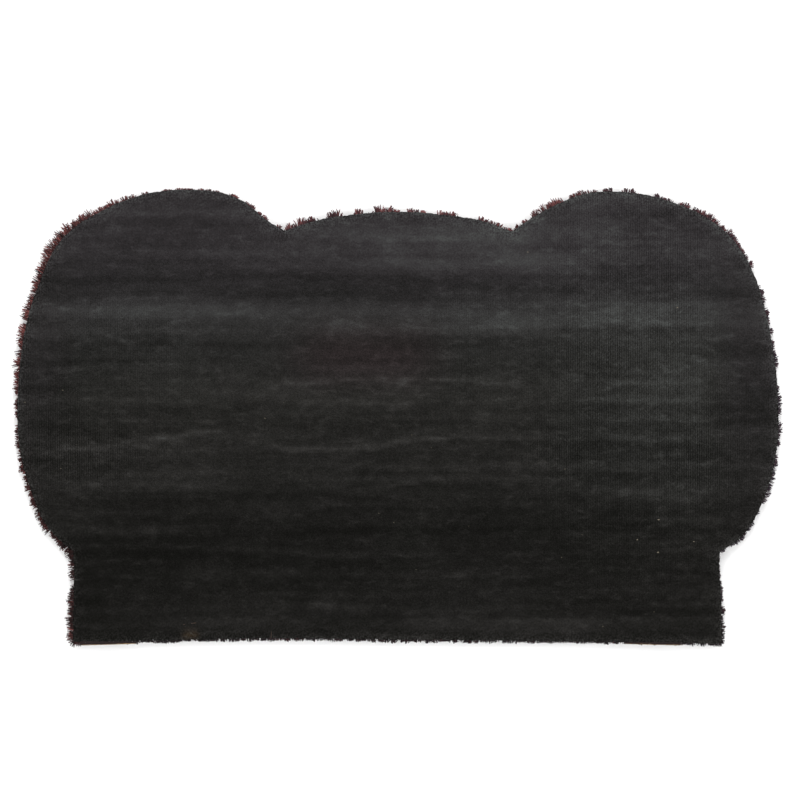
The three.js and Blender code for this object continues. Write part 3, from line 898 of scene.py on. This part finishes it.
# %% Wall strands
WALL_STRANDS = 6400
WALL_DRAWN_IN = (0.7, 2.6)  # mm behind the cut edge
WALL_ROOT = UNDERSIDE - 0.05 * MM
WALL_LEAN = (-0.1, 0.45)  # a share of the reach
WALL_SWAY = 1.3 * MM
WALL_BULGE = 0.35 * MM
WALL_TIPS = (0.5, 2)  # mm above the floor
WALL_RADIUS = (0.35, 0.75)  # mm
WALL_SHADE = (0.05, 0.75)


def edge_index(positions):
    """The number of the edge point at distances along the edge."""
    return (positions / EDGE_STEP).astype(int) % len(edge)


def at_edge(positions):
    """The edge point, the way out and the way along at distances along the edge."""
    out = outward[edge_index(positions)]
    return edge[edge_index(positions)], out, np.column_stack([-out[:, 1], out[:, 0]])


def upright(flat, heights):
    """Points in the plane, lifted to their heights."""
    return np.column_stack([flat, heights])


random = np.random.default_rng(71)
where = random.uniform(0, edge_length, WALL_STRANDS)
place, out, sideways = at_edge(where)
held_at = place - out * random.uniform(*WALL_DRAWN_IN, WALL_STRANDS)[:, None] * MM
root = upright(held_at, np.full(WALL_STRANDS, WALL_ROOT))
lean = (reach[edge_index(where)] * random.uniform(*WALL_LEAN, WALL_STRANDS))[:, None]
sway = random.normal(0, WALL_SWAY, WALL_STRANDS)[:, None]
tip = upright(held_at + out * lean + sideways * sway, random.uniform(*WALL_TIPS, WALL_STRANDS) * MM)
middle = (root + tip) / 2
middle[:, :2] += out * (lean / 2 + random.normal(0, WALL_BULGE, WALL_STRANDS)[:, None])
joined_strands("coir_wall", dyed_coir, LONG_STRAND, root, middle, tip,
               random.uniform(*WALL_RADIUS, WALL_STRANDS) * MM, random.uniform(*WALL_SHADE, WALL_STRANDS),
               dirt[edge_index(where)])

# %% Tufts: where each one stands and what its strands share
TUFT_PITCH = 4.4 * MM
TUFT_SHIFT = 0.4  # how far a tuft may stand from its place, as a share of the pitch
TUFT_TURN = 0.3  # radians
TUFT_LENGTHS = (0.65, 1.35)  # shares of the reach
TUFT_HEIGHTS = (2.5, 9)  # mm above the floor, at the tips
TUFT_SHADES = 0.15

random = np.random.default_rng(83)
tufts = np.arange(0, edge_length, TUFT_PITCH)
tufts += random.uniform(-TUFT_SHIFT, TUFT_SHIFT, len(tufts)) * TUFT_PITCH
tufts = tufts[random.uniform(0, 1, len(tufts)) < fill[edge_index(tufts)]]
tuft_turn = random.normal(0, TUFT_TURN, len(tufts))
tuft_length = random.uniform(*TUFT_LENGTHS, len(tufts))
tuft_height = random.uniform(*TUFT_HEIGHTS, len(tufts)) * MM
# The rim's tone, with painted shade towards the foot and the lower left
tuft_shade = rim_tone_and_painted_shade[edge_index(tufts)] + random.uniform(-TUFT_SHADES, TUFT_SHADES, len(tufts))
print(f"tufts: {len(tufts)}")

# %% Loose strands of the tufts
STRANDS_PER_TUFT = 24
STRAND_ASIDE = 1.3 * MM
STRAND_TURN = 0.25  # radians, once with its place in the tuft and once by chance
STRAND_LENGTHS = (0.3, 1.15)  # shares of the tuft's length
OUTER_SHORTER = 0.15  # how much shorter a strand is for each step aside
SHORTEST = 0.6 * MM
LOOSE_DRAWN_IN = (1.5, 3)  # mm behind the cut edge
LOOSE_ROOTS = (7, 11.8)  # mm above the floor
LOOSE_TIPS = (1 * MM, 11.6 * MM)  # the lowest and highest place of a tip
TIP_SPREAD = 1.8 * MM
LOOSE_BEND = 0.5 * MM
LOOSE_ARCH = 1.2  # mm that the middle may rise
UNDER_VINYL = 11.8 * MM
LOOSE_RADIUS = (0.45, 0.75)  # mm
STRAND_SHADES = 0.2

of_tuft = np.repeat(np.arange(len(tufts)), STRANDS_PER_TUFT)
count = len(of_tuft)
aside = random.normal(0, 1, count)
where = tufts[of_tuft] + aside * STRAND_ASIDE
place, out, sideways = at_edge(where)
turn = (tuft_turn[of_tuft] + aside * STRAND_TURN + random.normal(0, STRAND_TURN, count))[:, None]
way = out * np.cos(turn) + sideways * np.sin(turn)
length = reach[edge_index(where)] * tuft_length[of_tuft] * random.uniform(*STRAND_LENGTHS, count)
length = length * (1 - OUTER_SHORTER * np.abs(aside)) + SHORTEST
held_at = place - out * random.uniform(*LOOSE_DRAWN_IN, count)[:, None] * MM
root = upright(held_at, random.uniform(*LOOSE_ROOTS, count) * MM)
tip_height = np.clip(tuft_height[of_tuft] + random.normal(0, TIP_SPREAD, count), *LOOSE_TIPS)
tip = upright(place + way * length[:, None], tip_height)
middle = (root + tip) / 2
middle[:, :2] += sideways * random.normal(0, LOOSE_BEND, count)[:, None]
middle[:, 2] = np.minimum(middle[:, 2] + random.uniform(0, LOOSE_ARCH, count) * MM, UNDER_VINYL)
radius = random.uniform(*LOOSE_RADIUS, count) * MM
shade = tuft_shade[of_tuft] + random.normal(0, STRAND_SHADES, count)
left = place[:, 0] < 0
for name, chosen in (("coir_tufts_left", left), ("coir_tufts_right", ~left)):
    joined_strands(name, dyed_coir, LONG_STRAND, root[chosen], middle[chosen], tip[chosen], radius[chosen],
                   shade[chosen], dirt[edge_index(where[chosen])])

# %% [markdown]
# ## Fibre that lies along the foot
#
# Near both ends of the foot some long fibres have come up over the lip of the vinyl and lie along it. Most
# are nearly black. The outermost missed the dye, and show as a thin straw-coloured line. A few single
# fibres have strayed onto the back, and are placed one by one.

# %% Lying strands
# Where they lie in mm: from one x to another, between an inner y and the outer y at each end
LYING_RUNS = [
    {"from": -314, "to": -256, "inner": -221.6, "outer": (-224.9, -223.3)},
    {"from": 222, "to": 282, "inner": -222.4, "outer": (-223.6, -225)},
]
LYING_LENGTH = 14
LYING_SPACING = 2
LYING_HEIGHTS = (14.8, 15.3)


def lying_strands(name, material, spread, copies, radius, shade):
    """Strands along the foot, in the given share of the way from the inner to the outer line."""
    ends = []
    for run in LYING_RUNS:
        for x in np.repeat(np.arange(run["from"], run["to"] - LYING_LENGTH, LYING_SPACING), copies):
            xs = np.array([x, x + LYING_LENGTH])
            outer = np.interp(xs, (run["from"], run["to"]), run["outer"])
            y = run["inner"] + random.uniform(*spread, 2) * (outer - run["inner"])
            ends.append(np.column_stack([xs, y, np.full(2, random.uniform(*LYING_HEIGHTS))]))
    ends = np.array(ends) * MM
    joined_strands(name, material, LONG_STRAND, ends[:, 0], ends.mean(axis=1), ends[:, 1],
                   np.full(len(ends), radius), random.uniform(*shade, len(ends)))


random = np.random.default_rng(97)
lying_strands("coir_lying", dyed_coir, spread=(0, 1), copies=5, radius=0.42 * MM, shade=(-0.7, -0.4))
lying_strands("raw_fibre", raw_coir, spread=(1, 1.15), copies=1, radius=0.3 * MM, shade=(0.3, 0.7))

# %% Stray fibres
# Single fibres that strayed onto the back, near the foot: both ends in mm
STRAYS = [
    {"from": (-125.6, -218.5), "to": (-125.3, -211.5)},
    {"from": (-204.3, -203.7), "to": (-199.3, -203.1)},
    {"from": (-212, -204.8), "to": (-210.2, -204.4)},
]
STRAY_HEIGHT = 15.2
STRAY_RADIUS = 0.22 * MM
STRAY_SHADE = 0.2
STRAY_DIRT = 0.6

strays = np.array([[(*row["from"], STRAY_HEIGHT), (*row["to"], STRAY_HEIGHT)] for row in STRAYS]) * MM
joined_strands("raw_strays", raw_coir, SHORT_STRAND, strays[:, 0], strays.mean(axis=1), strays[:, 1],
               np.full(len(strays), STRAY_RADIUS), np.full(len(strays), STRAY_SHADE), STRAY_DIRT)

# %% [markdown]
# ## Attach each piece to the mat's body
#
# Every new piece rides on the mat's one body and stands for a imported solid, which it hides.

coir_pieces = [o for o in bpy.data.objects if o.name.startswith(("coir_", "raw_")) and "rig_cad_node" not in o]
for piece in [vinyl_sheet, *coir_pieces]:
    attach(piece, "root")
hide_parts("vinyl_back")
for piece in coir_pieces:
    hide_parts("coir_pile")
print("pieces:", sorted(piece.name for piece in [vinyl_sheet, *coir_pieces]))

# %% [markdown]
# ## Floor, light and camera
#
# The photograph is a plain product shot from straight above, on white. A pale floor and large soft lamps
# give that. The lamps stand low and to the sides, most light from the head of the mat, so the matt vinyl
# doesn't mirror them into the camera and stays black. The camera is high up with a long lens, so the edge
# shows no side wall.

# %% Floor
FLOOR_HALF = 6
PAPER_WHITE = "#f0f0f0"
PAPER_ROUGHNESS = 0.9

floor_bm = bmesh.new()
bmesh.ops.create_grid(floor_bm, x_segments=1, y_segments=1, size=FLOOR_HALF)
floor_mesh = bpy.data.meshes.new("floor")
floor_bm.to_mesh(floor_mesh)
floor_bm.free()
paper = bpy.data.materials.new("white_paper")
paper.use_nodes = True
paper_shader = paper.node_tree.nodes["Principled BSDF"]
paper_shader.inputs["Base Color"].default_value = from_hex(PAPER_WHITE)
paper_shader.inputs["Roughness"].default_value = PAPER_ROUGHNESS
floor = new_piece("floor", floor_mesh, paper)
print(f"floor: {2 * FLOOR_HALF} m across")

# %% Lamps and world
WORLD_STRENGTH = 0.12
LAMPS = [
    {"name": "head_lamp", "place": (0, 2.6, 2.4), "watts": 140, "size": 2.8},
    {"name": "left_lamp", "place": (-2.6, -0.2, 2.3), "watts": 75, "size": 2.8},
    {"name": "right_lamp", "place": (2.6, -0.2, 2.3), "watts": 85, "size": 2.8},
    {"name": "foot_lamp", "place": (0, -2.6, 2.4), "watts": 70, "size": 2.8},
]


def aim(thing, target):
    """Turns a lamp or camera so that it looks at a point."""
    thing.rotation_euler = (thing.location - Vector(target)).to_track_quat("Z", "Y").to_euler()


for lamp in LAMPS:
    data = bpy.data.lights.new(lamp["name"], "AREA")
    data.energy, data.size = lamp["watts"], lamp["size"]
    lit = bpy.data.objects.new(lamp["name"], data)
    lit.location = lamp["place"]
    bpy.context.scene.collection.objects.link(lit)
    aim(lit, (0, 0, 0))

world = bpy.data.worlds.new("studio")
world.use_nodes = True
sky = world.node_tree.nodes["Background"]
sky.inputs["Color"].default_value = (1, 1, 1, 1)
sky.inputs["Strength"].default_value = WORLD_STRENGTH
bpy.context.scene.world = world
bpy.context.scene.view_settings.view_transform = "Standard"
print(f"lamps: {sum(lamp['watts'] for lamp in LAMPS)} W")

# %% Camera
VIEW_WIDTH = 0.7884  # what the picture shows across, at the height of the back
CAMERA_PLACE = (1.48 * MM, 16.5 * MM, 3.2)
SENSOR = 36

camera_data = bpy.data.cameras.new("camera")
camera_data.sensor_width = SENSOR
camera_data.lens = SENSOR * (CAMERA_PLACE[2] - BACK_LEVEL) / VIEW_WIDTH
camera = bpy.data.objects.new("camera", camera_data)
camera.location = CAMERA_PLACE
bpy.context.scene.collection.objects.link(camera)
bpy.context.scene.camera = camera
print(f"camera: {camera_data.lens:.1f} mm lens")

# %% [markdown]
# ## Finish
#
# Last, the view layer is brought up to date.

# %% Finish
bpy.context.view_layer.update()
